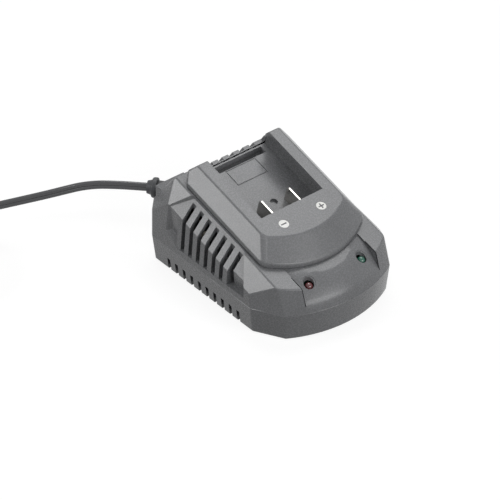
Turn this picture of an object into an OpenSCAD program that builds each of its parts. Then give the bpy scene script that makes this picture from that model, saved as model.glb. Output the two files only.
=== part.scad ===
// Battery charger for cordless tools: a slotted two-part casing, a tilted battery
// dock with two contact blades, the circuit inside and a mains lead with its plug.
// Millimetres. +X is the right-hand side, +Y the back, +Z up. The origin is on the
// surface that the charger stands on, below the middle of the casing.

/* [Casing] */
// Width of the casing at its seam
case_w = 97.2; // [88:0.2:118]
// Length of the casing from the front bow to the back wall
case_l = 124; // [112:1:150]
// Wall thickness of both shells
wall = 2.4; // [1.8:0.1:3]
// Height of the seam above the bottom edge
seam_h = 17.3; // [15:0.1:21]
// How far the bottom shell narrows towards its lower edge, each side
bottom_draft = 1.9; // [0.5:0.1:3]
// Radius of the bowed front, seen from above
bow_r = 75; // [65:1:110]
// How far the front leans back for each millimetre of height
bow_lean = 0.31; // [0.1:0.01:0.4]
// Half the width of the bow between the two front corner faces
bow_half_w = 38.2; // [32:0.2:40]
// Length of each front corner face, measured along Y
front_corner_l = 18.5; // [12:0.5:24]
// Width of each back corner face, measured along X
back_corner_w = 7.1; // [4:0.1:10]
// Length of each back corner face, measured along Y
back_corner_l = 5.9; // [4:0.1:8]
// Height of the upright back wall
back_wall_h = 36.3; // [32:0.1:40]
// Height of the bend in the side walls, halfway along the casing
side_bend_h = 34.3; // [31:0.1:36]
// How far the side walls lean in below the bend
side_lean = 1.1; // [0.5:0.1:1.6]

/* [Dock] */
// Angle between the dock's top and the ground
dock_tilt = 15.08; // [10:0.1:18]
// Height of the dock's top plane halfway along the casing
dock_h = 57.83; // [54:0.1:62]
// Depth from the dock's top to the casing's top face
dock_drop = 11.7; // [10:0.1:13]
// Width of the dock at its foot
dock_w = 74.4; // [72:0.2:78]
// Width of the dock's flat top
dock_top_w = 59; // [58:0.2:64]
// Depth of the sloping sides of the dock
dock_side_drop = 8; // [6:0.1:9]
// Distance between the two lips that hold the battery
lip_gap = 44.8; // [40:0.1:48]
// Thickness of each lip
lip_t = 3.05; // [2:0.05:4]
// Width of the pocket under the lips
pocket_w = 54; // [51:0.1:56]
// Depth of the pocket below the dock's top
pocket_depth = 16.4; // [14:0.1:18]
// Width of the latch recess in the pocket floor
latch_w = 45.8; // [30:0.1:48]
// Gap left between parts that fit into each other
fit_gap = 0.3; // [0.2:0.05:0.4]
// Depth of the shadow line between dock and casing
shadow_gap = 0.4; // [0.2:0.1:0.6]

/* [Contacts] */
// Distance between the two blades, centre to centre
blade_pitch = 20.12; // [18:0.1:24]
// Thickness of a blade
blade_t = 0.9; // [0.6:0.1:1.2]
// Length of a blade in front of the terminal wall
blade_l = 15.1; // [12:0.1:18]
// Height of a blade above the pocket floor
blade_h = 10.4; // [8:0.1:11]
// Diameter of a polarity disc
disc_d = 6; // [5:0.1:7]

/* [Vents] */
// Distance between side vents
side_vent_pitch = 6.9; // [6:0.1:7.4]
// Width of a side vent
side_vent_w = 3.2; // [2.4:0.1:3.6]
// Distance between the slots in the bottom shell
low_vent_pitch = 6.95; // [6:0.05:7.2]
// Width of a slot in the bottom shell
low_vent_w = 2.6; // [2:0.1:3.4]
// Distance between the vents in the back slope
back_vent_pitch = 7.6; // [6:0.1:8]
// Width of a vent in the back slope
back_vent_w = 3.3; // [2.4:0.1:4]

/* [Lights] */
// Diameter of an indicator light
led_d = 5; // [4:0.1:6]
// Diameter of the hole around an indicator light
led_hole_d = 6.2; // [5.6:0.1:7]
// Distance between the two lights
led_pitch = 38.2; // [30:0.1:42]
// Half the width of the sunk front panel
panel_half_w = 26.8; // [24:0.1:28]

/* [Circuit] */
// Thickness of the circuit board
pcb_t = 1.6; // [1:0.1:2]
// Height of the circuit board's underside above the bottom edge
pcb_h = 7; // [6:0.1:8]
// Depth of the transformer core, front to back
core_depth = 13; // [11:0.5:14]

/* [Fasteners and feet] */
// Diameter of the housing screws
screw_d = 3; // [2.5:0.1:3.5]
// Diameter of a rubber foot
foot_d = 10; // [8:0.5:11]
// Thickness of a rubber foot
foot_t = 2; // [1.6:0.1:2.4]
// How far the feet hold the casing off the ground
foot_stand = 0.8; // [0.4:0.1:1]

/* [Mains lead] */
// Diameter of the mains lead
cord_d = 5.4; // [5:0.1:6]
// Radius of the middle turn of the coiled lead
coil_r = 30.8; // [28:0.1:34]

/* [Hidden] */
$fn = 48;

reach = 200;                 // longer than the casing, for blocks that cut it
core_point = [0, 0, 20];     // a point inside every casing form

side_x = case_w / 2;
back_y = case_l / 2;
front_y = -back_y;
bow_y = front_y + bow_r;     // centre of the front bow
nose_y = bow_y - sqrt(bow_r * bow_r - bow_half_w * bow_half_w);
corner_y = nose_y + front_corner_l;
shoulder_y = back_y - back_corner_l;
bend_rise = 0.25;            // rise of the side bend for each millimetre back
bend_top_x = side_x - side_lean;

// Casing top face, parallel to the dock's top
base_z = dock_h - dock_drop / cos(dock_tilt);
crest_u = 45.5;              // the dock's back end, along the slope
crest_y = crest_u * cos(dock_tilt) + dock_drop * sin(dock_tilt);
crest_z = base_z + crest_y * tan(dock_tilt);
crease_x = dock_w / 2 + 1.4;

// Dock, in its own tilted frame: u runs along the slope, w off the top plane
bow_u = 16.3;                // centre of the rounded dock front
dock_front_r = 48.5;         // its radius at the top
dock_front_flare = 12.8;     // how much wider it is below the sloping front
dock_foot_front_y = -42.7;   // front of the dock's foot
dock_foot_r = 58;
terminal_u = -11.1;          // back face of the front block
rim_back_u = 38.6;           // back ends of the lips
rim_back_run = 4.9;          // how far the rims' back faces run out as they drop
floor_end_u = 43.6;
sill_u = floor_end_u + fit_gap;
tub_half_w = pocket_w / 2 + wall;
tub_w = -pocket_depth - wall;
block_half_w = 14.5;
block_l = 10.3;

// Front panel, turned around the bow's axis: it leaves the dock's foot nearly flat
// and gets steeper towards the bow
panel_top_r = bow_y - dock_foot_front_y + 0.1;
panel_top_z = base_z + (bow_y - panel_top_r) * tan(dock_tilt) + 0.6;
panel_low_z = seam_h + 4.5;
panel_run = bow_r - bow_lean * (panel_low_z - seam_h) - panel_top_r;
panel_slope = 0.24;          // its fall for each millimetre of run, at the top
panel_bow = (panel_top_z - panel_low_z - panel_slope * panel_run) / (panel_run * panel_run);
led_run = 8.6;               // from the panel's top edge to a light
led_r = panel_top_r + led_run;
led_x = led_pitch / 2;
led_y = bow_y - sqrt(led_r * led_r - led_x * led_x);
led_z = panel_z(led_run);
led_sink = 0.6;              // the dome's top below the panel

// Side vent bay: its ends run outwards at a slant, seen from above
bay_x = dock_w / 2;
bay_front_y = -13.7;
bay_back_y = 30.7;
bay_skew = 1.17;             // run of the ends along Y for each millimetre of X
bay_sill_h = seam_h + 3.8;
bay_low_x = side_x - 3.7;    // the bay's floor at the sill
bay_bend_x = side_x - 3;     // and at its bend
rib_bend_x = side_x - 1.5;
rib_bend_z = side_bend_h - 0.9;
rib_top_z = base_z - 3;
side_vent_y = 7.9;           // middle side vent
low_vent_y = 10.7;           // middle of the row of bottom slots
low_vent_top = 7.8;

// Fasteners and posts
boss_r = 4;
boss_x = side_x - 7.9;
front_boss_y = -31;
back_boss_y = 38.5;
boss_joint_h = 13;
screw_seat_h = 7;
screw_tip_h = 24;
head_r = screw_d / 2 + 1.4;
head_h = 2.2;
thread_gap = 0.05;           // between a screw and the hole that it cuts its way into
post_r = 3;
post_x = 28;
front_post_y = -33;
back_post_y = 43;
pcb_screw_r = 1.2;
foot_r = foot_d / 2;
foot_x = 29;
front_foot_y = front_y + 18.5;
back_foot_y = back_y - 10;
dock_screw_x = (tub_half_w + dock_w / 2 - wall) / 2;
dock_screw_r = 1.2;
dock_screw_u = [-2, 28];

// Circuit board
pcb_top = pcb_h + pcb_t;
pcb_half_w = boss_x - boss_r - 0.7;
pcb_front_y = -38;
pcb_back_y = 48;
tongue_half_w = 24;
tongue_front_y = -47;

// Strain relief, along its own axis from the casing's back wall
relief_turn = 40;            // how far the lead points to the left of straight back
relief_h = 38.8;
relief_exit = [-38.8, 69.8];
relief_dir = [-sin(relief_turn), cos(relief_turn)];
nose_l = 3.5;                // how far the tapered nose covers the lead
hole_half = 3.3;
seat_left_x = -41;
seat_right_x = -20.5;

// Mains lead: points of the free stretch, with z from the ground
cord_route = [
    [-38.8, 69.8, 39.6], [-42.5, 74.4, 39.2], [-46.2, 79, 38.8], [-50, 83.7, 38.3],
    [-53.8, 88.3, 37.7], [-57.6, 92.9, 36.9], [-61.5, 97.5, 35.6], [-65.4, 102, 33.8],
    [-69.5, 106.6, 31.4], [-78, 115.4, 26.7], [-87.1, 123.5, 22.9],
    [-96.8, 130.8, 19.9], [-108.9, 138.3, 17.3], [-121.7, 144.7, 15.4],
    [-136.9, 150.4, 14.1], [-156.7, 155.3, 13.6]];
cord_tail = [[-198.2, 125, 2.8], [-198.2, 117, 3], [-198.2, 108, 4.6],
    [-198.2, 100, 6.1]];
coil_centre = [-162, 125];
coil_rise = 0.1;             // the lowest turn's clearance above the ground

// Plug
plug_at = [-198.2, 100, 6.1];
plug_l = 36;
plug_w = 35;
plug_h = 12;
pin_pitch = 18.6;
pin_d = 4;
pin_l = 19;
pin_sleeve_l = 9;

shell_grey = "#8a8b8c";
dark_grey = "#4b4c4e";

// ---------------------------------------------------------------- helpers

function normal3(p) = cross(p[1] - p[0], p[2] - p[0]);
function outward(n, from) = n * from < 0 ? -n / norm(n) : n / norm(n);

// All the space beyond the plane through three points, moved inwards by inset
module beyond(p, inset = 0) {
    n = outward(normal3(p), p[0] - core_point);
    translate(p[0] - inset * n)
        rotate([0, acos(n[2]), atan2(n[1], n[0])])
            translate([-reach, -reach, 0])
                cube([2 * reach, 2 * reach, reach]);
}

// A block given by its lowest and highest corners
module span(low, high) translate(low) cube(high - low);

module both_sides() {
    children();
    mirror([1, 0, 0]) children();
}

module on_feet() translate([0, 0, foot_stand]) children();

// The dock's own frame
module on_dock() translate([0, 0, dock_h]) rotate([dock_tilt, 0, 0]) children();

module along_relief() translate([relief_exit[0], relief_exit[1], relief_h])
    rotate([0, 0, relief_turn]) children();

// The four places of the housing screws, the posts and the feet
module at_four(x, front, back) {
    for (sx = [-1, 1])
        for (y = [front, back])
            translate([sx * x, y, 0]) children();
}

function unit(v) = v / norm(v);
function heading(p, i) = unit(p[min(i + 1, len(p) - 1)] - p[max(i - 1, 0)]);

// One ring of points around a route's point; side is a direction it never runs in
function ring_at(p, i, r, sides, side) =
    let (t = heading(p, i), across = unit(cross(side, t)), over = cross(t, across))
    [for (k = [0:sides - 1])
        p[i] + r * (cos(360 * k / sides) * across + sin(360 * k / sides) * over)];

// A round tube swept along a route
module swept_tube(p, r, sides, side) {
    rings = len(p);
    points = [for (i = [0:rings - 1]) each ring_at(p, i, r, sides, side)];
    walls = [for (i = [0:rings - 2], k = [0:sides - 1])
        let (m = (k + 1) % sides)
        [i * sides + k, i * sides + m, (i + 1) * sides + m, (i + 1) * sides + k]];
    first = [for (k = [sides - 1:-1:0]) k];
    last = [for (k = [0:sides - 1]) (rings - 1) * sides + k];
    polyhedron(points, concat([first], walls, [last]));
}

// A smooth route through given points, with steps points for each stretch
function spline(p, steps) = concat(
    [for (i = [0:len(p) - 2], s = [0:steps - 1])
        let (t = s / steps, a = p[max(i - 1, 0)], b = p[i], c = p[i + 1],
            d = p[min(i + 2, len(p) - 1)])
        0.5 * (2 * b + (c - a) * t + (2 * a - 5 * b + 4 * c - d) * t * t
            + (3 * b - a - 3 * c + d) * t * t * t)],
    [p[len(p) - 1]]);

// ---------------------------------------------------------------- casing forms

// What the bowed front cuts away, with radius r0 at height z0 and r1 at z1
module beyond_bow(z0, r0, z1, r1, inset) {
    margin = 2;
    flare = margin * (r1 - r0) / (z1 - z0);
    difference() {
        span([-reach, -reach, z0 - margin], [reach, bow_y, z1 + margin]);
        translate([0, bow_y, z0 - margin])
            cylinder(h = z1 - z0 + 2 * margin, r1 = r0 - flare - inset,
                r2 = r1 + flare - inset, $fn = 180);
    }
}

// The bottom shell's outside, or its inside when inset by the wall
module bottom_form(inset = 0) {
    low_x = side_x - bottom_draft;
    nose = [bow_half_w, nose_y, seam_h];
    difference() {
        span([-side_x, front_y, inset], [side_x, back_y, seam_h]);
        beyond_bow(0, bow_r - bottom_draft, seam_h, bow_r, inset);
        both_sides() {
            beyond([[low_x, 0, 0], [low_x, 1, 0], [side_x, 0, seam_h]], inset);
            beyond([[side_x, corner_y, seam_h], nose,
                nose + [-1, bottom_draft, -seam_h]], inset);
            beyond([[side_x, shoulder_y, seam_h],
                [side_x - back_corner_w, back_y, seam_h],
                [side_x - back_corner_w - 1.2, back_y - 1.2, 0]], inset);
        }
        beyond([[0, back_y, seam_h], [1, back_y, seam_h], [0, back_y - 1.3, 0]], inset);
    }
}

// Height and fall of the front panel at a distance out from its top edge
function panel_z(run) = panel_top_z - panel_slope * run - panel_bow * run * run;
function panel_fall(run) = panel_slope + 2 * panel_bow * run;

// A point of the panel's profile, moved inwards by inset, then along by extra
function panel_point(run, inset, extra) =
    let (f = panel_fall(run), n = unit([f, 1]))
    [panel_top_r + run, panel_z(run)] - inset * n + extra * [n[1], -n[0]];

// What the sunk front panel cuts away: all that is outside it, but nothing below
// the dock
module beyond_panel(inset) {
    steps = 8;
    high = 8;
    difference() {
        span([-panel_half_w - inset, front_y - 1, seam_h],
            [panel_half_w + inset, bow_y - 30, panel_top_z + high]);
        translate([0, bow_y, 0]) rotate_extrude($fn = 180)
            polygon(concat([[0, 0], [0, panel_top_z]], [panel_point(0, inset, -12)],
                [for (i = [0:steps]) panel_point(panel_run * i / steps, inset, 0)],
                [panel_point(panel_run, inset, 9)],
                [[panel_point(panel_run, inset, 9)[0], 0]]));
        linear_extrude(height = reach) dock_foot(inset);
    }
}

// The face of the ribs between the side vents, and the space outside it
module beyond_ribs(inset) {
    beyond([[side_x - 0.4, 0, bay_sill_h], [side_x - 0.4, 1, bay_sill_h],
        [rib_bend_x, 0, rib_bend_z]], inset);
    beyond_rib_slope(inset);
}
module beyond_rib_slope(inset) beyond([[rib_bend_x, 0, rib_bend_z],
    [rib_bend_x, 40, rib_bend_z + 40 * bend_rise], [crease_x, 0, rib_top_z]], inset);

// What the sunk bay of side vents cuts away, on the right
module beyond_bay(inset) {
    run = inset * norm([1, bay_skew]);
    low_x = bay_x - inset;
    function front(x) = bay_front_y - bay_skew * (x - bay_x) - run;
    function back(x) = bay_back_y + bay_skew * (x - bay_x) + run;
    intersection() {
        translate([0, 0, bay_sill_h - inset]) linear_extrude(height = reach)
            polygon([[low_x, front(low_x)], [60, front(60)], [60, back(60)],
                [low_x, back(low_x)]]);
        union() {
            beyond([[bay_low_x, 0, bay_sill_h], [bay_low_x, 1, bay_sill_h],
                [bay_bend_x, 0, rib_bend_z]], inset);
            beyond_rib_slope(inset);
        }
        // ramp in the lower back corner
        beyond([[side_x - 0.7, back(side_x) - 1, bay_sill_h + 6.7],
            [bay_low_x, back(bay_low_x), bay_sill_h + 8.3],
            [side_x - 0.3, 33.5, bay_sill_h]], inset);
    }
}

// The top shell's outside with the bays, or its inside when inset by the wall
module bayed_form(inset = 0) {
    difference() {
        top_form(inset);
        both_sides() beyond_bay(inset);
    }
}

// The top shell's outside without the bays, or its inside when inset by the wall
module top_form(inset = 0) {
    nose = [bow_half_w, nose_y, seam_h];
    bend_front = [bend_top_x, 0, side_bend_h];
    bend_back = [bend_top_x, crest_y - 4, side_bend_h + bend_rise * (crest_y - 4)];
    difference() {
        span([-side_x, front_y, seam_h - (inset > 0 ? 1 : 0)], [side_x, back_y, crest_z]);
        beyond_bow(seam_h, bow_r, crest_z, bow_r - bow_lean * (crest_z - seam_h), inset);
        both_sides() {
            beyond([[side_x, 0, seam_h], [side_x, 1, seam_h],
                [bend_top_x, 0, side_bend_h + 4]], inset);
            beyond([[side_x, corner_y, seam_h], nose, nose + [-0.2, 5.1, 17.5]], inset);
            beyond([[side_x, shoulder_y, seam_h],
                [side_x - back_corner_w, back_y, seam_h],
                [side_x, shoulder_y, seam_h + 10]], inset);
            beyond([bend_front, bend_back, [crease_x, 0, base_z]], inset);
            beyond([bend_back, [bend_top_x, shoulder_y + 1, back_wall_h - 1.7],
                [crease_x, crest_y, crest_z]], inset);
        }
        beyond([[0, back_y, 0], [1, back_y, 0], [0, back_y, 10]], inset);
        beyond([[0, crest_y, crest_z], [1, crest_y, crest_z],
            [0, back_y, back_wall_h]], inset);
        beyond([[0, 0, base_z], [1, 0, base_z],
            [0, cos(dock_tilt), base_z + sin(dock_tilt)]], inset);
        beyond_panel(inset);
    }
}

// Block behind the back wall that gives the strain relief an upright seat
module relief_seat(inset = 0) {
    span([seat_left_x + inset, back_y - 14, relief_h - 7 + inset],
        [seat_right_x - inset, back_y - inset, relief_h + 6.8 - inset]);
}

module bottom_shell() color(shell_grey) on_feet() {
    difference() {
        union() {
            difference() {
                bottom_form();
                difference() {
                    bottom_form(wall);
                    at_four(boss_x, front_boss_y, back_boss_y)
                        cylinder(h = boss_joint_h, r = boss_r);
                    at_four(post_x, front_post_y, back_post_y)
                        cylinder(h = pcb_h, r = post_r);
                    at_four(foot_x, front_foot_y, back_foot_y)
                        cylinder(h = wall + 1, r = foot_r + 1);
                }
            }
            seam_tongue();
        }
        at_four(boss_x, front_boss_y, back_boss_y) {
            translate([0, 0, -1]) cylinder(h = screw_seat_h + 1, r = head_r + 0.5);
            cylinder(h = seam_h, r = screw_d / 2 + 0.2);
        }
        at_four(post_x, front_post_y, back_post_y)
            translate([0, 0, wall]) cylinder(h = pcb_h, r = pcb_screw_r + thread_gap);
        at_four(foot_x, front_foot_y, back_foot_y)
            translate([0, 0, -1])
                cylinder(h = 1 + foot_t - foot_stand, r = foot_r + 0.1);
        low_vents();
    }
}

// Raised rim of the bottom shell that registers inside the top shell
module seam_tongue() {
    tongue_h = bay_sill_h - wall - seam_h - 0.2;
    difference() {
        intersection() {
            top_form(wall + fit_gap / 2);
            span([-reach, -reach, seam_h - 1], [reach, reach, seam_h + tongue_h]);
        }
        top_form(wall + 1.4);
        at_four(boss_x, front_boss_y, back_boss_y)
            translate([0, 0, seam_h - 2]) cylinder(h = 6, r = boss_r + fit_gap);
    }
}

module low_vents() {
    for (i = [-4.5:4.5])
        both_sides()
            span([side_x - 5.4, low_vent_y + i * low_vent_pitch - low_vent_w / 2, -1],
                [side_x + 1, low_vent_y + i * low_vent_pitch + low_vent_w / 2,
                    low_vent_top]);
}

module top_shell() color(shell_grey) on_feet() {
    difference() {
        union() {
            difference() {
                union() {
                    bayed_form();
                    vent_ribs();
                    relief_seat();
                }
                bayed_form(wall);
                relief_seat(wall);
            }
            intersection() {
                bayed_form();
                at_four(boss_x, front_boss_y, back_boss_y)
                    translate([0, 0, boss_joint_h]) cylinder(h = reach, r = boss_r);
            }
        }
        at_four(boss_x, front_boss_y, back_boss_y)
            cylinder(h = screw_tip_h + 1, r = screw_d / 2 + thread_gap);
        on_dock() dock_opening();
        side_vents();
        back_vents();
        light_holes();
        along_relief() span([-hole_half, -22, -hole_half], [hole_half, 4, hole_half]);
    }
}

// The hole that the dock's tub and terminal block reach through, and the lowered
// sill behind the pocket
module dock_opening() {
    half = tub_half_w + fit_gap;
    span([-half, terminal_u - wall - fit_gap, -dock_drop - 12], [half, sill_u, 5]);
    span([-block_half_w - 1.5, terminal_u - block_l - 7, -dock_drop - 6],
        [block_half_w + 1.5, terminal_u, 5]);
    span([-pocket_w / 2, 0, -pocket_depth], [pocket_w / 2, reach, 5]);
    both_sides()
        for (u = dock_screw_u)
            translate([dock_screw_x, u, -dock_drop - 8])
                cylinder(h = 12, r = dock_screw_r + 0.2);
}

module side_vents() {
    for (i = [-3:3])
        both_sides()
            span([crease_x, side_vent_y + i * side_vent_pitch - side_vent_w / 2,
                    bay_sill_h],
                [reach, side_vent_y + i * side_vent_pitch + side_vent_w / 2, reach]);
}

// The ribs stand between the vents and behind the last one
module vent_ribs() {
    rib_w = side_vent_pitch - side_vent_w;
    difference() {
        intersection() {
            top_form();
            both_sides()
                for (i = [-2.5:3.5])
                    span([crease_x, side_vent_y + i * side_vent_pitch - rib_w / 2,
                            bay_sill_h - 1],
                        [side_x, side_vent_y + i * side_vent_pitch + rib_w / 2, reach]);
        }
        both_sides() beyond_ribs(0);
    }
}

module back_vents() {
    for (i = [-2.5:2.5])
        span([i * back_vent_pitch - back_vent_w / 2, crest_y + 0.9, back_wall_h + 4],
            [i * back_vent_pitch + back_vent_w / 2, reach, reach]);
}

module light_holes() {
    both_sides() {
        translate([led_x, led_y, pcb_top]) cylinder(h = 40, r = led_hole_d / 2);
        // ring sunk around the hole, square to the panel
        translate([led_x, led_y, led_z])
            rotate([0, 0, asin(led_x / led_r)]) rotate([atan(panel_fall(led_run)), 0, 0])
                translate([0, 0, -0.5])
                    cylinder(h = 2, r1 = led_hole_d / 2 + 0.8, r2 = led_hole_d / 2 + 2);
    }
}

// ---------------------------------------------------------------- dock

function corner_arc(centre, r, from, to, steps) =
    [for (i = [0:steps])
        let (a = from + (to - from) * i / steps)
        centre + r * [cos(a), sin(a)]];

// Outline of the dock's foot, seen from above
module dock_foot(inset = 0) {
    half = dock_w / 2 - inset;
    r = dock_foot_r - inset;
    round_r = 7;
    cy = dock_foot_front_y + dock_foot_r;
    // centre of the rounding between the bowed front and the straight side
    rx = half - round_r;
    turn = asin(rx / (r - round_r));
    ry = cy - (r - round_r) * cos(turn);
    back = crest_y - inset;
    chamfer = 9.4;
    right = concat(
        corner_arc([0, cy], r, -90, -90 + turn, 10),
        corner_arc([rx, ry], round_r, -90 + turn, 0, 8),
        [[half, back - chamfer], [half - chamfer, back]]);
    polygon(concat(right, [for (i = [len(right) - 1:-1:1]) [-right[i][0], right[i][1]]]));
}

// The dock's outside, or its inside when inset by the wall, down to the casing
module dock_form(inset, foot_w) {
    half_top = dock_top_w / 2;
    half_foot = dock_w / 2 - 0.9;
    slope_n = unit([dock_side_drop, 0, half_foot - half_top]);
    front_inset = inset * 1.2;
    difference() {
        linear_extrude(height = 90, convexity = 4) dock_foot(inset);
        on_dock() {
            span([-reach, -reach, -inset], [reach, reach, reach]);
            span([-reach, -reach, -reach], [reach, reach, -foot_w]);
            both_sides()
                translate([half_top, 0, 0] - inset * slope_n)
                    rotate([0, acos(slope_n[2]), 0])
                        translate([-reach, -reach, 0])
                            cube([2 * reach, 2 * reach, reach]);
            difference() {
                span([-reach, -reach, -dock_side_drop * 2], [reach, bow_u, 1]);
                translate([0, bow_u, -dock_side_drop * 2])
                    cylinder(h = dock_side_drop * 2 + 2,
                        r1 = dock_front_r + 2 * dock_front_flare - front_inset,
                        r2 = dock_front_r - dock_front_flare * 2 / dock_side_drop
                            - front_inset, $fn = 180);
            }
            beyond_rim(inset);
        }
    }
}

// What lies behind the sloping back ends of the rims, in the dock's frame
module beyond_rim(inset = 0) {
    run = atan(rim_back_run / dock_side_drop);
    translate([0, rim_back_u - inset / cos(run), 0])
        rotate([run, 0, 0]) span([-reach, 0, -reach], [reach, reach, reach]);
}

module dock() color(shell_grey) on_feet() {
    difference() {
        union() {
            difference() {
                dock_form(0, dock_drop - shadow_gap);
                dock_form(wall, dock_drop + 5);
            }
            seat_ring();
            intersection() {
                dock_form(0, dock_drop);
                on_dock() both_sides()
                    for (u = dock_screw_u)
                        translate([dock_screw_x, u, -dock_drop])
                            cylinder(h = dock_drop, r = 2.6);
            }
            on_dock() difference() {
                union() {
                    span([-tub_half_w, terminal_u - wall, tub_w],
                        [tub_half_w, floor_end_u, -lip_t - 1]);
                    latch_tray();
                }
                beyond_rim();
            }
        }
        on_dock() {
            battery_pocket();
            latch_recess();
            floor_marks();
            disc_seats();
            blade_slots();
            both_sides()
                for (u = dock_screw_u)
                    translate([dock_screw_x, u, -dock_drop - 1])
                        cylinder(h = 5.4, r = dock_screw_r + thread_gap);
        }
    }
}

// Narrow ring under the dock's foot that stands on the casing's top face
module seat_ring() {
    difference() {
        dock_form(1.2, dock_drop);
        dock_form(wall, dock_drop + 5);
        on_dock() span([-reach, -reach, -dock_drop + shadow_gap + 0.5],
            [reach, reach, reach]);
    }
}

module battery_pocket() {
    span([-lip_gap / 2, terminal_u, -lip_t - 1], [lip_gap / 2, reach, 5]);
    span([-pocket_w / 2, terminal_u, -pocket_depth], [pocket_w / 2, reach, -lip_t]);
}

module latch_tray() span([-latch_w / 2 - wall, rim_back_u - 3, -pocket_depth - 7.4],
    [latch_w / 2 + wall, floor_end_u, -pocket_depth - 1]);

module latch_recess() span([-latch_w / 2, rim_back_u - 0.9, -pocket_depth - 5],
    [latch_w / 2, floor_end_u - 1, -pocket_depth + 1]);

// Blank frame and round recess in the pocket floor
module floor_marks() {
    translate([3.5, 31.1, -pocket_depth - 0.4]) difference() {
        translate([-10.9, -6.2, 0]) cube([21.8, 12.4, 1]);
        translate([-10.2, -5.5, -1]) cube([20.4, 11, 3]);
    }
    translate([3.2, 5.3, -pocket_depth - 1.6]) cylinder(h = 4, r = 2.25);
}

disc_x = 13.6;
disc_u = -20.7;
disc_sink = 0.9;
disc_t = 0.7;
module disc_seats() {
    both_sides()
        translate([disc_x, disc_u, -disc_sink])
            cylinder(h = 3, r = disc_d / 2 + 0.05);
}

module blade_slots() {
    both_sides()
        span([blade_pitch / 2 - blade_t / 2 - 0.05, terminal_u - wall - 1,
                -pocket_depth],
            [blade_pitch / 2 + blade_t / 2 + 0.05, terminal_u + 1,
                -pocket_depth + blade_h + 0.1]);
}

// ---------------------------------------------------------------- contacts

block_front_u = terminal_u - wall;
block_top_w = -4;
block_bottom_w = -20;
blade_tail_u = terminal_u - 9;

module terminal_block() color("#2c2d2f") on_feet() on_dock() {
    difference() {
        span([-block_half_w, block_front_u - block_l, block_bottom_w],
            [block_half_w, block_front_u, block_top_w]);
        both_sides()
            span([blade_pitch / 2 - blade_t / 2 - 0.05, blade_tail_u - 0.05,
                    block_bottom_w - 1],
                [blade_pitch / 2 + blade_t / 2 + 0.05, block_front_u + 1,
                    -pocket_depth + blade_h + 0.1]);
        span([-4, block_front_u - block_l - 1, block_bottom_w - 1],
            [4, block_front_u - block_l + 4, block_bottom_w + 8]);
    }
}

// One contact blade with a soldering tail, standing on the pocket floor
module blade(side) color("#c9cccf") on_feet() on_dock() {
    foot = -pocket_depth + 0.05;
    top = -pocket_depth + blade_h;
    tip = terminal_u + blade_l;
    translate([side * blade_pitch / 2 + blade_t / 2, 0, 0]) rotate([90, 0, -90])
        linear_extrude(height = blade_t)
            polygon([for (p = [[blade_tail_u, block_bottom_w - 2],
                [blade_tail_u + 3.5, block_bottom_w - 2],
                [blade_tail_u + 3.5, foot - 0.3], [terminal_u - wall - 0.2, foot - 0.3],
                [terminal_u - wall - 0.2, foot], [tip, foot], [tip, top - 1.4],
                [tip - 1.4, top], [blade_tail_u, top]]) [-p[0], p[1]]]);
}
module blade_negative() blade(-1);
module blade_positive() blade(1);

module polarity_disc(side, plus) color("#e6e6e2") on_feet() on_dock() {
    translate([side * disc_x, disc_u, -disc_sink]) difference() {
        cylinder(h = disc_t, r = disc_d / 2);
        translate([-1.9, -0.45, disc_t - 0.25]) cube([3.8, 0.9, 1]);
        if (plus)
            translate([-0.45, -1.9, disc_t - 0.25]) cube([0.9, 3.8, 1]);
    }
}
module polarity_disc_negative() polarity_disc(-1, false);
module polarity_disc_positive() polarity_disc(1, true);

// ---------------------------------------------------------------- lights

led_body_l = 8.6;
leg_r = 0.3;

// A domed light standing upright behind the panel on two legs
module led(side) on_feet() translate([side * led_x, led_y, led_z - led_sink]) {
    r = led_d / 2;
    rotate_extrude()
        polygon(concat([[0, -led_body_l], [r + 0.4, -led_body_l],
            [r + 0.4, 1 - led_body_l], [r, 1 - led_body_l]],
            [for (a = [0:10:90]) [r * cos(a), -r + r * sin(a)]]));
    leg_l = led_z - led_sink - led_body_l - pcb_top;
    for (x = [-1.27, 1.27])
        translate([x, 0, -led_body_l - leg_l])
            cylinder(h = leg_l + 0.5, r = leg_r, $fn = 16);
}
module led_red() color("#b32226") led(-1);
module led_green() color("#2f9e44") led(1);

// ---------------------------------------------------------------- circuit

module pcb() color("#1d5b3a") on_feet() {
    difference() {
        union() {
            span([-pcb_half_w, pcb_front_y, pcb_h], [pcb_half_w, pcb_back_y, pcb_top]);
            span([-tongue_half_w, tongue_front_y, pcb_h],
                [tongue_half_w, pcb_front_y + 1, pcb_top]);
        }
        at_four(post_x, front_post_y, back_post_y)
            cylinder(h = 20, r = pcb_screw_r + 0.2);
    }
}

transformer_at = [2, 8];
core_w = 34;
core_h = 26;
core_leg_h = 6;
core_yoke = 5;
window_h = (core_h - core_leg_h - 2 * core_yoke) / 2;
bobbin_lift = 0.6;           // the core stands this far above the board

module on_board(at) on_feet() translate([at[0], at[1], pcb_top]) children();

module transformer_core() color("#3a3a3c") on_board(transformer_at)
    translate([0, 0, bobbin_lift]) difference() {
        span([-core_w / 2, -core_depth / 2, 0], [core_w / 2, core_depth / 2, core_h]);
        for (z = [core_yoke, core_yoke + window_h + core_leg_h])
            span([-core_w / 2 + core_yoke, -core_depth, z],
                [core_w / 2 - core_yoke, core_depth, z + window_h]);
    }

bobbin_half_l = core_w / 2 - core_yoke - 0.1;
bobbin_tube = 0.8;
module bobbin_space(grow)
    span([-core_w, -core_depth / 2 - 0.1 - grow, bobbin_lift + core_yoke + window_h
            - 0.1 - grow],
        [core_w, core_depth / 2 + 0.1 + grow, bobbin_lift + core_yoke + window_h
            + core_leg_h + 0.1 + grow]);

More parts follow.
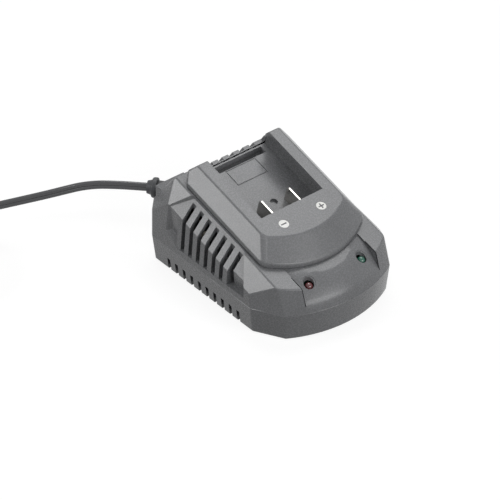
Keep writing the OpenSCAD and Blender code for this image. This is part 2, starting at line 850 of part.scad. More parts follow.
module transformer_bobbin() color("#20211f") on_board(transformer_at) {
    low_z = bobbin_lift + core_yoke + 0.1;
    high_z = bobbin_lift + core_h - core_yoke - 0.1;
    difference() {
        union() {
            intersection() {
                bobbin_space(bobbin_tube);
                span([-bobbin_half_l, -reach, 0], [bobbin_half_l, reach, reach]);
            }
            both_sides()
                span([bobbin_half_l - 1.2, -core_depth / 2 - 6, low_z],
                    [bobbin_half_l, core_depth / 2 + 6, high_z]);
            // pin rails that stand on the board in front of and behind the core
            for (s = [-1, 1])
                translate([0, s * (core_depth / 2 + 3.6), 0])
                    span([-bobbin_half_l, -2.2, 0], [bobbin_half_l, 2.2, low_z + 0.5]);
        }
        bobbin_space(0);
    }
}

module transformer_winding() color("#c9a227") on_board(transformer_at) {
    difference() {
        span([-bobbin_half_l + 1.3, -core_depth / 2 - 5, bobbin_lift + core_yoke + 0.7],
            [bobbin_half_l - 1.3, core_depth / 2 + 5,
                bobbin_lift + core_h - core_yoke - 0.3]);
        bobbin_space(bobbin_tube + 0.1);
    }
}

// An upright can with a crimped groove near its foot
module can(r, h) {
    rotate_extrude()
        polygon([[0, 0], [r, 0], [r, 1.6], [r - 0.4, 2], [r - 0.4, 2.6], [r, 3],
            [r, h - 0.5], [r - 0.5, h], [r - 1.2, h], [r - 1.2, h - 0.3], [0, h - 0.3]]);
}
module bulk_capacitor() color("#26272b") on_board([-20, 27.5]) can(9, 28);
module output_capacitor() color("#2c3e66") on_board([19, -20]) can(5, 16);

module x_capacitor() color("#c8a83c") on_board([11, 40])
    span([-9, -4, 0], [9, 4, 14]);

// Toroid on edge with a base plate
module line_choke() color("#7a4a22") on_board([2, 29]) {
    span([-7, -3.5, 0], [7, 3.5, 1.5]);
    translate([0, 0, 8.5]) rotate([90, 0, 0]) translate([0, 0, -3]) difference() {
        cylinder(h = 6, r = 7.5);
        translate([0, 0, -1]) cylinder(h = 8, r = 3);
    }
}

module line_fuse() color("#d9d4c4") on_board([-14, 42.5])
    translate([0, 0, 2.6]) rotate([0, 90, 0]) rotate_extrude()
        polygon([[0, -10], [2.6, -10], [2.6, -4.5], [2.3, -4.5], [2.3, 4.5],
            [2.6, 4.5], [2.6, 10], [0, 10]]);

module bridge_rectifier() color("#222326") on_board([16, 28.5])
    span([-5, -1.8, 0], [5, 1.8, 11]);

sink_at = [-27.5, 4];
module heatsink() color("#a8abae") on_board(sink_at) {
    span([-1.5, -12, 0], [0.5, 12, 20]);
    for (y = [-10, -5, 0, 5, 10])
        span([-4, y - 0.8, 0], [-1, y + 0.8, 20]);
}

module switching_transistor() color("#202124") on_board(sink_at) {
    span([0.5, -5, 4], [5, 5, 13]);
    span([0.5, -5, 12], [1.8, 5, 19]);
    for (y = [-2.54, 0, 2.54])
        span([2.2, y - 0.4, 0], [2.8, y + 0.4, 5]);
}

module output_diode() color("#232427") on_board([26.3, 4])
    translate([0, 0, 2.7]) rotate([90, 0, 0]) cylinder(h = 9.5, r = 2.7, center = true);

module chip(l) {
    span([-l / 2, -3.2, 0.6], [l / 2, 3.2, 4]);
    for (x = [-(l / 2 - 1.2):2.54:l / 2 - 1])
        for (s = [-1, 1])
            span([x - 0.3, s > 0 ? 3 : -3.9, 0], [x + 0.3, s > 0 ? 3.9 : -3, 2.4]);
}
module control_chip() color("#1f2022") on_board([-12, -16]) chip(9.8);
module optocoupler() color("#1f2022") on_board([0, -16]) chip(4.8);

// ---------------------------------------------------------------- wires

wire_r = 0.9;

// From a blade's tail down to the board
module battery_lead(side) on_feet() {
    u = blade_tail_u + 1.7;
    w = block_bottom_w - 2;
    y = u * cos(dock_tilt) - w * sin(dock_tilt);
    z = dock_h + u * sin(dock_tilt) + w * cos(dock_tilt);
    x = side * blade_pitch / 2;
    swept_tube(spline([[x, y, z - 0.3], [x, y - 0.7, z - 3], [x * 1.02, y - 5, z - 10],
        [x * 1.05, y - 10, z - 18], [x * 1.05, y - 12, pcb_top + 3],
        [x * 1.05, y - 12.3, pcb_top]], 2), wire_r, 8, [1, 0, 0]);
}
module battery_lead_negative() color("#26272a") battery_lead(-1);
module battery_lead_positive() color("#b3261e") battery_lead(1);

relief_inner = relief_exit - 21 * relief_dir;

// From the strain relief's inner end down to the board
module mains_lead(shift, land_x) on_feet() {
    a = relief_inner - 0.2 * relief_dir
        + shift * [cos(relief_turn), sin(relief_turn)];
    b = a - 3 * relief_dir;
    swept_tube(spline([[a[0], a[1], relief_h], [b[0], b[1], relief_h - 1.5],
        [b[0] + 1.4, b[1] - 3, relief_h - 9], [land_x, 49, 22],
        [land_x, 46.7, pcb_top + 6], [land_x, 46.6, pcb_top]], 2), wire_r, 8, [1, 0, 0]);
}
module mains_lead_live() color("#6b3f22") mains_lead(-1.3, -19.6);
module mains_lead_neutral() color("#2a55a3") mains_lead(1.3, -15.6);

// Moulded on the lead: lug inside, neck through the seat, flange, tapered nose
module strain_relief() color(dark_grey) on_feet() along_relief() {
    neck = hole_half - 0.15;
    lug = hole_half + 0.6;
    flange_r = 6;
    rotate([90, 0, 0]) difference() {
        union() {
            translate([0, 0, 2.5]) linear_extrude(height = 18.5)
                square(2 * neck, center = true);
            translate([0, 0, 17]) linear_extrude(height = 2.5)
                square([2 * lug, 2 * lug], center = true);
            rotate_extrude()
                polygon([[0, -nose_l], [cord_d / 2 + 0.5, -nose_l], [flange_r - 1.6, 1],
                    [flange_r - 0.4, 1.6], [flange_r, 2.4], [flange_r, 4.2],
                    [flange_r - 0.4, 4.6], [0, 4.6]]);
        }
        translate([0, 0, -nose_l - 1]) cylinder(h = nose_l + 1, r = cord_d / 2 + 0.05);
    }
}

// ---------------------------------------------------------------- mains lead

module cord_tube() color("#3b3c3f") {
    swept_tube(spline(cord_route, 2), cord_d / 2, 10, [0, 0, 1]);
    swept_tube(spline(cord_tail, 2), cord_d / 2, 10, [0, 0, 1]);
}

// The outer shape of the coiled turns: three beside each other in two layers, and
// one and a bit on top
module cord_coil() color("#3b3c3f") {
    inner = coil_r - 1.5 * cord_d;
    outer = coil_r + 1.5 * cord_d;
    translate([coil_centre[0], coil_centre[1], coil_rise]) rotate_extrude($fn = 72)
        polygon([[inner, 0], [outer, 0], [outer, 3 * cord_d], [inner + cord_d, 3 * cord_d],
            [inner + cord_d, 2 * cord_d], [inner, 2 * cord_d]]);
}

// Flat two-pin plug lying on its broad side
module plug_body() color("#3b3c3f") translate(plug_at) {
    difference() {
        rotate([90, 0, 0]) translate([0, 0.1, 0]) linear_extrude(height = plug_l)
            polygon([for (p = [[-0.5, -0.28], [-0.28, -0.5], [0.28, -0.5], [0.5, -0.28],
                [0.5, 0.28], [0.28, 0.5], [-0.28, 0.5], [-0.5, 0.28]])
                [p[0] * plug_w, p[1] * plug_h]]);
        // shoulders taper towards the lead
        both_sides()
            translate([5, 0, 0]) rotate([0, 0, -48])
                translate([0, 0, -reach / 2]) cube([reach, reach, reach]);
    }
}

module plug_pins() color("#c9cccf") translate(plug_at)
    for (s = [-1, 1])
        translate([s * pin_pitch / 2, -plug_l, 0.1]) rotate([90, 0, 0])
            rotate_extrude()
                polygon(concat([[0, 0], [pin_d / 2 - 0.4, 0],
                    [pin_d / 2 - 0.4, pin_sleeve_l], [pin_d / 2, pin_sleeve_l]],
                    [for (a = [0:15:90])
                        [pin_d / 2 * cos(a), pin_l - pin_d / 2 + pin_d / 2 * sin(a)]]));

module plug_pin_sleeves() color("#2a2b2d") translate(plug_at)
    for (s = [-1, 1])
        translate([s * pin_pitch / 2, -plug_l, 0.1]) rotate([90, 0, 0])
            difference() {
                cylinder(h = pin_sleeve_l, r = pin_d / 2);
                translate([0, 0, -1])
                    cylinder(h = pin_sleeve_l + 2, r = pin_d / 2 - 0.4);
            }

// ---------------------------------------------------------------- feet and screws

module rubber_feet() color("#1b1b1c") at_four(foot_x, front_foot_y, back_foot_y)
    rotate_extrude()
        polygon([[0, 0], [foot_r - 0.5, 0], [foot_r, 0.5], [foot_r, foot_t], [0, foot_t]]);

// A pan-head screw pointing up, seated with its head's top at z = 0
module screw(r, l, cap_r, cap_h) {
    difference() {
        union() {
            cylinder(h = l, r = r);
            translate([0, 0, -cap_h]) cylinder(h = cap_h, r = cap_r);
        }
        for (a = [0, 90])
            rotate([0, 0, a])
                span([-cap_r * 0.6, -0.35, -cap_h - 1], [cap_r * 0.6, 0.35, -cap_h * 0.4]);
    }
}

module housing_screws() color("#8d9093") on_feet()
    at_four(boss_x, front_boss_y, back_boss_y)
        translate([0, 0, screw_seat_h])
            screw(screw_d / 2, screw_tip_h - screw_seat_h, head_r, head_h);

module dock_screws() color("#8d9093") on_feet() on_dock() both_sides()
    for (u = dock_screw_u)
        translate([dock_screw_x, u, -dock_drop - wall])
            screw(dock_screw_r, wall + 3.9, 2.3, 1.6);

module pcb_screws() color("#8d9093") on_feet()
    at_four(post_x, front_post_y, back_post_y)
        translate([0, 0, pcb_top]) mirror([0, 0, 1])
            screw(pcb_screw_r, pcb_t + 3.6, 2.3, 1.6);

// ---------------------------------------------------------------- assembly

bottom_shell();
top_shell();
dock();
terminal_block();
blade_negative();
blade_positive();
polarity_disc_negative();
polarity_disc_positive();
led_red();
led_green();
pcb();
transformer_core();
transformer_bobbin();
transformer_winding();
bulk_capacitor();
output_capacitor();
x_capacitor();
line_choke();
line_fuse();
bridge_rectifier();
switching_transistor();
heatsink();
output_diode();
control_chip();
optocoupler();
battery_lead_negative();
battery_lead_positive();
mains_lead_live();
mains_lead_neutral();
strain_relief();
cord_tube();
cord_coil();
plug_body();
plug_pins();
plug_pin_sleeves();
rubber_feet();
housing_screws();
dock_screws();
pcb_screws();
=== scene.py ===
import math

import bmesh
import bpy
from mathutils import Matrix, Vector


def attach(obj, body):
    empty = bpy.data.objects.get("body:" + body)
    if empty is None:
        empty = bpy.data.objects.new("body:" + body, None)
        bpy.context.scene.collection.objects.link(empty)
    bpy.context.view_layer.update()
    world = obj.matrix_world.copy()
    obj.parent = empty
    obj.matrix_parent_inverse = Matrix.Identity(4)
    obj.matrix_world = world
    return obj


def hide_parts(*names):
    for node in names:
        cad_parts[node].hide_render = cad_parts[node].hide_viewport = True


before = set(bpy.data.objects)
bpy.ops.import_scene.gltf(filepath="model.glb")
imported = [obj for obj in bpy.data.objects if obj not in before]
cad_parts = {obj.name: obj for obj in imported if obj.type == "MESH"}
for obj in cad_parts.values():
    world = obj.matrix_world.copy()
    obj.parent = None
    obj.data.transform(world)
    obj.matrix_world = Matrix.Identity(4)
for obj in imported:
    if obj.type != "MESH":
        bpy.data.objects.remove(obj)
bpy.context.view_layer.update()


# ------------------------------------------------------------------ room and camera
# A pale table and a white backdrop under a large overhead softbox, with a strip light
# behind on the left, a fill in front and a small lamp above the camera. Seen from the
# front left corner, looking down at about 37 degrees, with a long lens.

def linear(hex_colour):
    """An sRGB hex colour as linear red, green, blue and alpha."""
    parts = [int(hex_colour[i:i + 2], 16) / 255 for i in (1, 3, 5)]
    return [c / 12.92 if c <= 0.04045 else ((c + 0.055) / 1.055) ** 2.4
            for c in parts] + [1]


def add_node(tree, kind, settings={}, links={}):
    """Adds a node; settings are its properties or input values, links name outputs.
    A number is an input's place: 1 to 4 are a Map Range's from and to limits, and 6 and
    7 a Mix's two colours."""
    made = tree.nodes.new(kind)
    for key, value in settings.items():
        if isinstance(key, str) and hasattr(made, key):
            setattr(made, key, value)
        else:
            made.inputs[key].default_value = value
    for key, output in links.items():
        tree.links.new(output, made.inputs[key])
    return made


def new_tree(material_name):
    """A new material and its empty node tree."""
    material = bpy.data.materials.new(material_name)
    material.use_nodes = True
    material.node_tree.nodes.clear()
    return material, material.node_tree


def seen_directly(tree):
    """1 for camera, glossy and transmission rays, 0 for the light that falls on things."""
    path = add_node(tree, "ShaderNodeLightPath")
    gloss = add_node(tree, "ShaderNodeMath", {"operation": "MAXIMUM"},
                     {0: path.outputs["Is Camera Ray"], 1: path.outputs["Is Glossy Ray"]})
    return add_node(tree, "ShaderNodeMath", {"operation": "MAXIMUM"},
                    {0: gloss.outputs[0], 1: path.outputs["Is Transmission Ray"]})


scene = bpy.context.scene
scene.view_settings.view_transform = "Standard"

ambient_level = 0.03         # what the studio's walls throw back; 1 is a white room
room = bpy.data.worlds.new("studio")
scene.world = room
room.use_nodes = True
room.node_tree.nodes.clear()
seen = seen_directly(room.node_tree)
ambient = add_node(room.node_tree, "ShaderNodeBackground",
                   {"Color": linear("#ffffff"), "Strength": ambient_level})
backdrop = add_node(room.node_tree, "ShaderNodeBackground",
                    {"Color": linear("#ffffff"), "Strength": 1.0})
mixed = add_node(room.node_tree, "ShaderNodeMixShader", {},
                 {0: seen.outputs[0], 1: ambient.outputs[0], 2: backdrop.outputs[0]})
add_node(room.node_tree, "ShaderNodeOutputWorld", {}, {"Surface": mixed.outputs[0]})

# Painted table top: matt white with a faint shadow, as in a light tent. It throws back
# only a grey card's light, so that the charger's low sides stay darker than its top
table_r = 3                  # metres
table_glow = 1.08            # a little over white, so that the table's edge doesn't show
glow_share = 0.8             # the rest is paint, which takes the charger's shadow
table_paint, tree = new_tree("white table paint")
seen = seen_directly(tree)
tone = add_node(tree, "ShaderNodeMix",
                {"data_type": "RGBA", 6: linear("#4d4d4d"), 7: linear("#ffffff")},
                {0: seen.outputs[0]})
paint = add_node(tree, "ShaderNodeBsdfDiffuse", {}, {"Color": tone.outputs[2]})
glow = add_node(tree, "ShaderNodeEmission",
                {"Color": linear("#ffffff"), "Strength": table_glow})
share = add_node(tree, "ShaderNodeMath", {"operation": "MULTIPLY", 1: glow_share},
                 {0: seen.outputs[0]})
mixed = add_node(tree, "ShaderNodeMixShader", {},
                 {0: share.outputs[0], 1: paint.outputs[0], 2: glow.outputs[0]})
add_node(tree, "ShaderNodeOutputMaterial", {}, {"Surface": mixed.outputs[0]})

mesh = bpy.data.meshes.new("table_top")
work = bmesh.new()
bmesh.ops.create_circle(work, cap_ends=True, segments=64, radius=table_r)
work.to_mesh(mesh)
work.free()
mesh.materials.append(table_paint)
table_top = bpy.data.objects.new("table_top", mesh)
scene.collection.objects.link(table_top)


lamp_distance = 1.3          # metres from the charger to each lamp
lamp_target = Vector((0, 0, 0.03))


def softbox(name, azimuth, elevation, size, level):
    """An area light that faces the charger; level 1 lights a facing white card white."""
    turn, rise = math.radians(azimuth), math.radians(elevation)
    towards = Vector((math.cos(rise) * math.sin(turn), math.cos(rise) * math.cos(turn),
                      math.sin(rise)))
    lamp = bpy.data.lights.new(name, "AREA")
    lamp.shape = "RECTANGLE"
    lamp.size, lamp.size_y = size
    lamp.energy = level * math.pi ** 2 * lamp_distance ** 2
    lit = bpy.data.objects.new(name, lamp)
    lit.location = lamp_target + towards * lamp_distance
    lit.rotation_euler = (-towards).to_track_quat("-Z", "Y").to_euler()
    scene.collection.objects.link(lit)


softbox("overhead softbox", 40, 60, (0.9, 0.7), 0.45)
softbox("strip light behind left", 296, 27, (0.45, 0.3), 0.3)
softbox("front fill", 172, 26, (0.9, 0.6), 0.5)
softbox("small lamp above the camera", 220, 62, (0.28, 0.28), 0.13)

# The camera looks this way round from the back, and down, at a point in the casing
turn, drop = math.radians(39.21), math.radians(36.69)
sight = Vector((math.cos(drop) * math.sin(turn), math.cos(drop) * math.cos(turn),
                -math.sin(drop)))
look_at = Vector((0, 0.0161, 0.01459))
camera_distance = 2.4438     # metres
lens = bpy.data.cameras.new("studio camera")
lens.sensor_width = 36
lens.lens = 307.9
lens.shift_x = -0.024
lens.shift_y = -0.020
lens.clip_start = 0.1
lens.clip_end = 20
camera = bpy.data.objects.new("studio camera", lens)
camera.location = look_at - camera_distance * sight
camera.rotation_euler = sight.to_track_quat("-Z", "Y").to_euler()
scene.collection.objects.link(camera)
scene.camera = camera


# ------------------------------------------------------------------ mains lead
# Flat twin flex, 5.4 by 2.8 mm: two stranded copper cores under one grey PVC sheath with
# a groove between them. It is 1.6 m long; what isn't laid out is wound on edge into a
# neat coil of three turns beside each other in two layers, with one and a bit on top.

MM = 0.001
flex_w = 5.4
flex_lobe_r = 1.4

lead_route = [(-38.8, 69.8, 39.6), (-42.5, 74.4, 39.2), (-46.2, 79, 38.8),
              (-50, 83.7, 38.3), (-53.8, 88.3, 37.7), (-57.6, 92.9, 36.9),
              (-61.5, 97.5, 35.6), (-65.4, 102, 33.8), (-69.5, 106.6, 31.4),
              (-78, 115.4, 26.7), (-87.1, 123.5, 22.9), (-96.8, 130.8, 19.9),
              (-108.9, 138.3, 17.3), (-121.7, 144.7, 15.4), (-136.9, 150.4, 14.1),
              (-156.7, 155.3, 13.6)]
lead_tail = [(-198.2, 125, 2.8), (-198.2, 117, 3), (-198.2, 108, 4.6), (-198.2, 100, 6.1)]
coil_centre = (-162, 125)
# Radius and height of each turn, and the angle at which it moves on to the next
coil_turns = [(30.8, 13.6, 312), (36.2, 13.6, 264), (36.2, 8.2, 216), (30.8, 8.2, 216),
              (25.4, 8.2, 168), (25.4, 2.8, 120), (30.8, 2.8, 120), (36.2, 2.8, None)]
coil_entry = 80              # degrees; where the lead meets the coil
coil_sweep = 7 * 360 + 100   # degrees, from there to where it leaves for the plug
coil_move = 48               # degrees that the flex takes to move to the next turn


def smooth_line(points, steps):
    """A Catmull-Rom line through points, without its last point."""
    line = []
    for i in range(len(points) - 1):
        a, b, c, d = (Vector(points[j]) for j in
                      (max(i - 1, 0), i, i + 1, min(i + 2, len(points) - 1)))
        for s in range(steps):
            t = s / steps
            line.append(0.5 * (2 * b + (c - a) * t + (2 * a - 5 * b + 4 * c - d) * t * t
                               + (3 * b - a - 3 * c + d) * t ** 3))
    return line


def coil_point(swept):
    """The point of the coil after sweeping so many degrees from its entry."""
    turn = int(swept // 360)
    r, z, leaves = coil_turns[turn]
    if leaves is not None and swept % 360 > leaves:
        t = min((swept % 360 - leaves) / coil_move, 1)
        t = t * t * (3 - 2 * t)
        r += t * (coil_turns[turn + 1][0] - r)
        z += t * (coil_turns[turn + 1][1] - z)
    a = math.radians(coil_entry + swept)
    return Vector((coil_centre[0] + r * math.cos(a), coil_centre[1] + r * math.sin(a), z))


lead_line = smooth_line(lead_route, 3)
lead_line += [coil_point(s) for s in range(0, coil_sweep, 5)]
lead_line += smooth_line(lead_tail, 4) + [Vector(lead_tail[-1])]
lead_line = [p * MM for p in lead_line]

# The section's outline, across by up: two lobes joined by a grooved web
outline = []
lobe_c = flex_w / 2 - flex_lobe_r
lobe_arc = range(-64, 245, 22)   # degrees; it stops short of the web
for side in (1, -1):
    for a in lobe_arc:
        x = flex_lobe_r * math.cos(math.radians(a))
        y = lobe_c + flex_lobe_r * math.sin(math.radians(a))
        outline.append((x * side, y * side))
section = bpy.data.curves.new("flex section", "CURVE")
spline = section.splines.new("POLY")
spline.points.add(len(outline) - 1)
for point, (x, y) in zip(spline.points, outline):
    point.co = (x * MM, y * MM, 0, 1)
spline.use_cyclic_u = True
section_object = bpy.data.objects.new("flex section", section)
scene.collection.objects.link(section_object)

sweep = bpy.data.curves.new("mains_flex", "CURVE")
sweep.dimensions = "3D"
sweep.twist_mode = "Z_UP"
sweep.bevel_mode = "OBJECT"
sweep.bevel_object = section_object
sweep.use_fill_caps = True
spline = sweep.splines.new("POLY")
spline.points.add(len(lead_line) - 1)
for point, p in zip(spline.points, lead_line):
    point.co = (*p, 1)
sweep_object = bpy.data.objects.new("mains_flex_line", sweep)
scene.collection.objects.link(sweep_object)
bpy.context.view_layer.update()
mesh = bpy.data.meshes.new_from_object(sweep_object.evaluated_get(
    bpy.context.evaluated_depsgraph_get()))
bpy.data.objects.remove(sweep_object)
bpy.data.objects.remove(section_object)


def clean_solid(bm):
    """Closes a new piece's doubles and turns its faces outwards."""
    bmesh.ops.remove_doubles(bm, verts=bm.verts, dist=1e-6)
    bmesh.ops.recalc_face_normals(bm, faces=bm.faces)


def add_piece(name, source, material, replaced=()):
    """Puts a bmesh or mesh into the scene as a smooth-shaded piece of the charger."""
    if isinstance(source, bmesh.types.BMesh):
        made = bpy.data.meshes.new(name)
        source.to_mesh(made)
        source.free()
    else:
        made = source
        made.name = name
    made.materials.clear()
    made.materials.append(material)
    piece = bpy.data.objects.new(name, made)
    scene.collection.objects.link(piece)
    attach(piece, "root")
    if replaced:
        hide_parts(*replaced)
    return piece


def shade_by_angle(bm, degrees):
    """Smooth faces, with a sharp edge wherever two faces meet at more than that."""
    for face in bm.faces:
        face.smooth = True
    for edge in bm.edges:
        edge.smooth = not (edge.is_manifold
                           and edge.calc_face_angle(0) > math.radians(degrees))


def moulded(name, colour, roughness, grain_mm, depth_mm, mottle=0.06, specular=0.5):
    """Moulded plastic or rubber with the fine grain of its mould. Its colour swings by
    mottle, with the grain and with soft clouds a few millimetres across."""
    cloud_mm = 14
    material, tree = new_tree(name)
    place = add_node(tree, "ShaderNodeTexCoord")
    grain = add_node(tree, "ShaderNodeTexNoise",
                     {"Scale": 1 / (grain_mm * MM), "Detail": 3.0, "Roughness": 0.6},
                     {"Vector": place.outputs["Object"]})
    cloud = add_node(tree, "ShaderNodeTexNoise",
                     {"Scale": 1 / (cloud_mm * MM), "Detail": 2.0},
                     {"Vector": place.outputs["Object"]})
    both = add_node(tree, "ShaderNodeMath", {"operation": "MULTIPLY_ADD", 1: 0.35},
                    {0: cloud.outputs["Fac"], 2: grain.outputs["Fac"]})
    base = linear(colour)
    low = [c * (1 - mottle) for c in base[:3]] + [1]
    high = [min(1, c * (1 + mottle)) for c in base[:3]] + [1]
    tone = add_node(tree, "ShaderNodeMapRange",
                    {"data_type": "FLOAT", 1: 0.45, 2: 0.95, 3: 0.0, 4: 1.0},
                    {0: both.outputs[0]})
    colour_mix = add_node(tree, "ShaderNodeMix", {"data_type": "RGBA", 6: low, 7: high},
                          {0: tone.outputs[0]})
    gloss = add_node(tree, "ShaderNodeMapRange",
                     {1: 0.3, 2: 0.7, 3: roughness - 0.05, 4: roughness + 0.06},
                     {0: grain.outputs["Fac"]})
    relief = add_node(tree, "ShaderNodeBump",
                      {"Strength": 1.0, "Distance": depth_mm * MM},
                      {"Height": grain.outputs["Fac"]})
    surface = add_node(tree, "ShaderNodeBsdfPrincipled",
                       {"IOR": 1.5, "Specular IOR Level": specular},
                       {"Base Color": colour_mix.outputs[2],
                        "Roughness": gloss.outputs[0], "Normal": relief.outputs[0]})
    add_node(tree, "ShaderNodeOutputMaterial", {}, {"Surface": surface.outputs[0]})
    return material


# Extruded soft PVC: smooth and glossy, so each lobe carries a bright streak
flex_pvc = moulded("extruded grey PVC", "#3d3e41", 0.2, 2.5, 0.003, 0.04, 0.7)
work = bmesh.new()
work.from_mesh(mesh)
clean_solid(work)
shade_by_angle(work, 60)
mains_flex = add_piece("mains_flex", work, flex_pvc,
                       ["cord_tube", "cord_coil"])

# Hook-and-loop strap over the coil's sides and top. Its woven pile is matt, nearly black
# and a little uneven
strap_pile = moulded("woven nylon strap", "#1d1d1f", 0.85, 0.5, 0.12, 0.3)
strap_w, strap_t = 11, 0.9
strap_bearing = 252          # degrees round the coil
# Its run round the turns: distance from the coil's middle, and height
strap_run = ((37.9, 0.08), (37.9, 15.6), (37.2, 16.4), (29.7, 16.4), (28.8, 15.8),
             (27.0, 11.2), (24.4, 11.2), (23.7, 10.6), (23.7, 0.08))
work = bmesh.new()
ring = [work.verts.new((x * MM, -strap_w / 2 * MM, z * MM)) for x, z in strap_run]
loop = [work.edges.new((a, b)) for a, b in zip(ring, ring[1:])]
swept = bmesh.ops.extrude_edge_only(work, edges=loop)
far = [v for v in swept["geom"] if isinstance(v, bmesh.types.BMVert)]
bmesh.ops.translate(work, verts=far, vec=(0, strap_w * MM, 0))
bmesh.ops.recalc_face_normals(work, faces=work.faces)
among_turns = Vector((31 * MM, 0, 6 * MM))
if sum((f.calc_center_median() - among_turns).dot(f.normal) for f in work.faces) > 0:
    bmesh.ops.reverse_faces(work, faces=work.faces)
bmesh.ops.solidify(work, geom=work.faces[:], thickness=strap_t * MM)
# Both ends stand flat, a hair above the table
for v in work.verts:
    if v.co.z < 0.2 * MM:
        v.co.z = 0.05 * MM
bmesh.ops.transform(work, verts=work.verts,
                    matrix=Matrix.Translation((coil_centre[0] * MM, coil_centre[1] * MM, 0))
                    @ Matrix.Rotation(math.radians(strap_bearing), 4, "Z"))
clean_solid(work)
shade_by_angle(work, 50)
coil_strap = add_piece("coil_strap", work, strap_pile)


# ------------------------------------------------------------------ plug
# Flat two-pin plug, moulded in one piece over the flex in soft black PVC, with rounded
# edges and shoulders that taper to the lead. Its nickel plated 4 mm pins are sleeved for
# nearly half their length.

def merged_copy(node):
    """A CAD node's mesh as a bmesh of clean faces instead of loose triangles."""
    bm = bmesh.new()
    bm.from_mesh(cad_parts[node].data)
    bmesh.ops.remove_doubles(bm, verts=bm.verts, dist=2e-6)
    bmesh.ops.dissolve_limit(bm, angle_limit=math.radians(0.5), verts=bm.verts,
                             edges=bm.edges)
    return bm


def cut_form(low, high, planes):
    """A block in millimetres, cut by planes given as (point, outward normal)."""
    bm = bmesh.new()
    bmesh.ops.create_cube(bm, size=1)
    low, high = Vector(low), Vector(high)
    bmesh.ops.scale(bm, verts=bm.verts, vec=high - low)
    bmesh.ops.translate(bm, verts=bm.verts, vec=(low + high) / 2)
    for point, normal in planes:
        done = bmesh.ops.bisect_plane(bm, geom=bm.verts[:] + bm.edges[:] + bm.faces[:],
                                      dist=1e-4, plane_co=point, plane_no=normal,
                                      clear_outer=True)
        rim = [e for e in done["geom_cut"] if isinstance(e, bmesh.types.BMEdge)]
        if rim:
            bmesh.ops.edgeloop_fill(bm, edges=rim)
    bmesh.ops.remove_doubles(bm, verts=bm.verts, dist=0.02)
    bmesh.ops.dissolve_degenerate(bm, edges=bm.edges, dist=0.02)
    bmesh.ops.recalc_face_normals(bm, faces=bm.faces)
    return bm


def plane_through(points, inside):
    """(point, outward normal) of the plane through three points."""
    a, b, c = (Vector(p) for p in points)
    normal = (b - a).cross(c - a).normalized()
    return a, -normal if normal.dot(a - Vector(inside)) < 0 else normal


def both_sides(planes):
    """Planes of the right-hand side together with their mirror images."""
    return planes + [(Vector((-p.x, p.y, p.z)), Vector((-n.x, n.y, n.z)))
                     for p, n in planes]


def round_edges(bm, radius, degrees=12, segments=3):
    """Rounds every edge that is sharper than an angle."""
    edges = [e for e in bm.edges if e.calc_face_angle(0) > math.radians(degrees)]
    bmesh.ops.bevel(bm, geom=edges, offset=radius, segments=segments, profile=0.5,
                    affect="EDGES", material=-1, loop_slide=False, clamp_overlap=False)


def as_object(bm, name):
    """Puts a bmesh into the scene for a while, as a modifier needs it."""
    mesh = bpy.data.meshes.new(name)
    bm.to_mesh(mesh)
    bm.free()
    made = bpy.data.objects.new(name, mesh)
    scene.collection.objects.link(made)
    return made


def trimmed(body, forms, operation="INTERSECT"):
    """What is left of a bmesh after it is joined with or cut to other bmeshes."""
    body = as_object(body, "body")
    others = [as_object(form, "form") for form in forms]
    for other in others:
        tool = body.modifiers.new("cut", "BOOLEAN")
        tool.solver = "EXACT"
        tool.operation = operation
        tool.object = other
    bpy.context.view_layer.update()
    shaped = body.evaluated_get(bpy.context.evaluated_depsgraph_get())
    result = bmesh.new()
    result.from_mesh(shaped.to_mesh())
    shaped.to_mesh_clear()
    for made in [body] + others:
        bpy.data.objects.remove(made)
    return result


def hold_flats(piece):
    """Keeps flat faces flat in the shading beside their rounded edges."""
    tool = piece.modifiers.new("flat faces", "WEIGHTED_NORMAL")
    tool.keep_sharp = True
    tool.weight = 80


# Soft moulded PVC: dark grey with a dull satin shine and a slightly uneven skin
plug_pvc = moulded("moulded black PVC", "#36373a", 0.5, 0.8, 0.02, 0.06)
plug_edge_r = 2.2
work = merged_copy("plug_body")
round_edges(work, plug_edge_r * MM, degrees=15, segments=4)
shade_by_angle(work, 40)
mains_plug = add_piece("mains_plug", work, plug_pvc, ["plug_body"])
hold_flats(mains_plug)


def metal(name, colour, roughness, scratch_mm=0.4, depth_mm=0.004):
    """Plated or bare metal with rubbing marks, drawn coarser than real ones to show."""
    material, tree = new_tree(name)
    place = add_node(tree, "ShaderNodeTexCoord")
    marks = add_node(tree, "ShaderNodeTexNoise",
                     {"Scale": 1 / (scratch_mm * MM), "Detail": 4.0},
                     {"Vector": place.outputs["Object"]})
    gloss = add_node(tree, "ShaderNodeMapRange",
                     {1: 0.3, 2: 0.7, 3: roughness * 0.8, 4: roughness * 1.3},
                     {0: marks.outputs["Fac"]})
    relief = add_node(tree, "ShaderNodeBump", {"Strength": 1.0, "Distance": depth_mm * MM},
                      {"Height": marks.outputs["Fac"]})
    surface = add_node(tree, "ShaderNodeBsdfPrincipled",
                       {"Base Color": linear(colour), "Metallic": 1.0},
                       {"Roughness": gloss.outputs[0], "Normal": relief.outputs[0]})
    add_node(tree, "ShaderNodeOutputMaterial", {}, {"Surface": surface.outputs[0]})
    return material


def finish_node(node, material):
    """Gives a CAD node that stays as it is its material."""
    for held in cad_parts[node].material_slots:
        held.material = material


# Bright nickel plate: a warm white that mirrors the lamps a little blurred
nickel = metal("bright nickel plate", "#d2d0cb", 0.2)
finish_node("plug_pins", nickel)
# Nylon sleeves: black, smoother and shinier than the plug
finish_node("plug_pin_sleeves", moulded("black nylon sleeve", "#1c1d1f", 0.4, 0.6, 0.006))


# ------------------------------------------------------------------ strain relief
# Soft PVC bush moulded on the flex: a square neck held in the casing's back wall, a
# flange that covers the opening and a short tapered nose.

